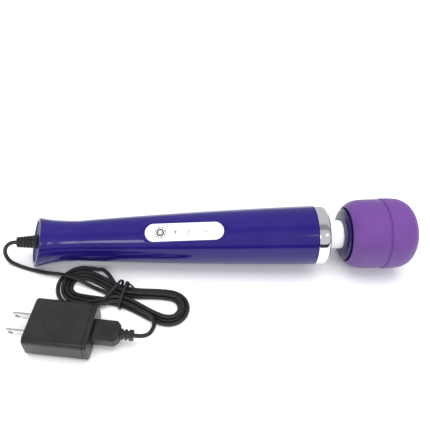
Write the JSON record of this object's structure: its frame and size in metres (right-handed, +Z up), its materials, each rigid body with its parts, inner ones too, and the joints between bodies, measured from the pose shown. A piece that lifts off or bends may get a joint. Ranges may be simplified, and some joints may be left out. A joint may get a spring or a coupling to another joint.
{
  "type": "handheld wand massager",
  "caption": "Cordless wand massager with a tapered handle, flexible neck and soft round head, plugged into its charging lead with a tied hank and a wall adapter.",
  "frame": {"origin": "on the table, under the middle of the wand's length", "axes": "+Z up from the table, +X from the wand's tail towards its head, the lead and adapter lie on the -Y side"},
  "size_m": [0.3219, 0.118, 0.0563],
  "materials": {
    "violet_gloss": "deep violet-blue, glossy",
    "dark_violet": "dark violet, semi-gloss",
    "chrome": "mirror chrome",
    "white_soft": "soft white",
    "grey_key": "soft white",
    "silicone": "matte purple silicone",
    "black_rubber": "semi-matte black",
    "black_satin": "satin black",
    "white_plastic": "off-white moulded",
    "black_plastic": "black moulded",
    "board_green": "solder mask green",
    "steel": "machined steel",
    "nickel": "nickel plated",
    "magnet": "ferrite",
    "copper": "copper winding on laminations",
    "cell_wrap": "shrink-wrapped cell",
    "wire_red": "red insulation",
    "wire_black": "black insulation"
  },
  "bodies": {
    "handle": {"upper_shell": "violet_gloss", "lower_shell": "violet_gloss", "chrome_ring": "chrome", "tail_cap": "violet_gloss", "shell_screw_1": "steel", "shell_screw_2": "steel", "charge_jack": "black_plastic", "jack_pin": "nickel", "battery_cell": "cell_wrap", "battery_cradle": "white_plastic", "main_board": "board_green", "controller_chip": "black_plastic", "tact_switch_1": "black_plastic", "tact_switch_2": "black_plastic", "tact_switch_3": "black_plastic", "tact_switch_4": "black_plastic", "control_panel": "white_soft", "battery_wire_red": "wire_red", "battery_wire_black": "wire_black", "motor_wire_red": "wire_red", "motor_wire_black": "wire_black", "motor_can": "steel", "motor_end_bell": "black_plastic", "motor_magnet_1": "magnet", "motor_magnet_2": "magnet", "motor_mount": "white_plastic", "motor_screw_1": "steel", "motor_screw_2": "steel"},
    "motor_rotor": {"motor_shaft": "steel", "armature": "copper"},
    "neck": {"neck_sleeve": "white_soft"},
    "drive": {"drive_coupling": "black_rubber"},
    "head": {"head_cup": "dark_violet", "head_dome": "white_plastic", "silicone_cover": "silicone", "bearing_rear": "steel", "bearing_front": "steel", "head_screw_1": "steel", "head_screw_2": "steel"},
    "head_rotor": {"head_shaft": "steel", "eccentric_weight": "steel"},
    "power_button": {"power_key": "grey_key"},
    "plus_button": {"plus_key": "grey_key"},
    "minus_button": {"minus_key": "grey_key"},
    "pattern_button": {"pattern_key": "grey_key"},
    "charge_lead": {"plug_barrel": "nickel", "plug_boot": "black_rubber", "cord_lead": "black_rubber", "cord_hank": "black_rubber", "cord_end": "black_rubber", "twist_tie": "black_plastic", "usb_boot": "black_rubber", "usb_shell": "nickel", "usb_tongue": "white_plastic"},
    "wall_adapter": {"adapter_case": "black_satin", "prong_plate": "black_satin", "prong_1": "nickel", "prong_2": "nickel", "adapter_socket": "nickel", "adapter_board": "board_green"}
  },
  "joints": [
    {"name": "neck_bend_up", "type": "hinge", "parent": "handle", "child": "neck", "pos_m": [0.08655, 0, 0.02678], "axis": [0, -1, 0], "range_deg": [-10, 10], "stiffness_Nm_per_rad": 8},
    {"name": "neck_bend_side", "type": "hinge", "parent": "neck", "child": "head", "pos_m": [0.08655, 0, 0.02678], "axis": [-0.0323, 0, 0.9995], "range_deg": [-10, 10], "stiffness_Nm_per_rad": 8},
    {"name": "motor_spin", "type": "hinge", "parent": "handle", "child": "motor_rotor", "pos_m": [0.08655, 0, 0.02678], "axis": [0.9995, 0, 0.0323], "continuous": true},
    {"name": "coupling_spin", "type": "hinge", "parent": "neck", "child": "drive", "pos_m": [0.08655, 0, 0.02678], "axis": [0.9995, 0, 0.0323], "continuous": true},
    {"name": "weight_spin", "type": "hinge", "parent": "head", "child": "head_rotor", "pos_m": [0.08655, 0, 0.02678], "axis": [0.9995, 0, 0.0323], "continuous": true},
    {"name": "power_key_press", "type": "slide", "parent": "handle", "child": "power_button", "axis": [0.0739, 0.4334, -0.8981], "range_m": [0, 0.0005], "stiffness_N_per_m": 2000},
    {"name": "plus_key_press", "type": "slide", "parent": "handle", "child": "plus_button", "axis": [0.0739, 0.4334, -0.8981], "range_m": [0, 0.0005], "stiffness_N_per_m": 2000},
    {"name": "minus_key_press", "type": "slide", "parent": "handle", "child": "minus_button", "axis": [0.0739, 0.4334, -0.8981], "range_m": [0, 0.0005], "stiffness_N_per_m": 2000},
    {"name": "pattern_key_press", "type": "slide", "parent": "handle", "child": "pattern_button", "axis": [0.0739, 0.4334, -0.8981], "range_m": [0, 0.0005], "stiffness_N_per_m": 2000},
    {"name": "lead_unplug", "type": "slide", "parent": "handle", "child": "charge_lead", "axis": [-0.9995, 0, -0.0323], "range_m": [0, 0.01]},
    {"name": "adapter_unplug", "type": "slide", "parent": "charge_lead", "child": "wall_adapter", "axis": [-0.9903, 0.1392, 0], "range_m": [0, 0.013]}
  ],
  "couplings": [
    {"joint": "coupling_spin", "follows": "motor_spin", "ratio": 1},
    {"joint": "weight_spin", "follows": "motor_spin", "ratio": 1}
  ]
}
